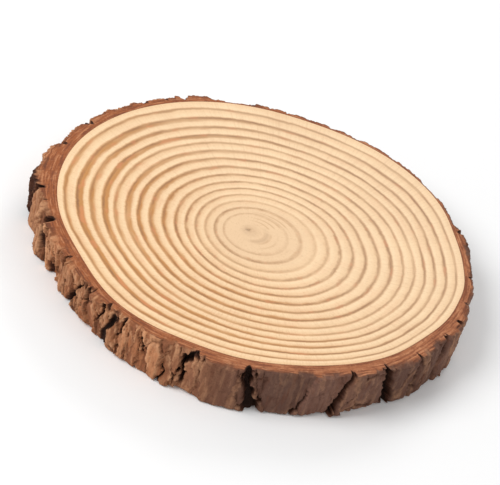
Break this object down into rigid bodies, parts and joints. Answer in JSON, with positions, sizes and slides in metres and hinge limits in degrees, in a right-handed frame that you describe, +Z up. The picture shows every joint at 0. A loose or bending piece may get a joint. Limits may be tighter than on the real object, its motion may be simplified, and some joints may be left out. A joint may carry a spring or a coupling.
{
  "type": "wood slice",
  "caption": "Thin round slice sawn across a pine log, with flat ring-marked faces and rough split bark round its rim.",
  "frame": {"origin": "middle of the length and width of the slice, on the sawn underside that it rests on", "axes": "+Z up through the slice's thickness, out of the upper sawn face; +Y away from the usual viewer, towards the side where the bark is thin"},
  "size_m": [0.1614, 0.1556, 0.0175],
  "materials": {
    "wood": "bare sawn and sanded pine, matt, with growth rings",
    "bark": "dry rough pine bark, matt, red-brown where it is cut or flaked and grey-brown outside"
  },
  "bodies": {
    "root": {"wood_slice": "wood"}
  },
  "joints": []
}
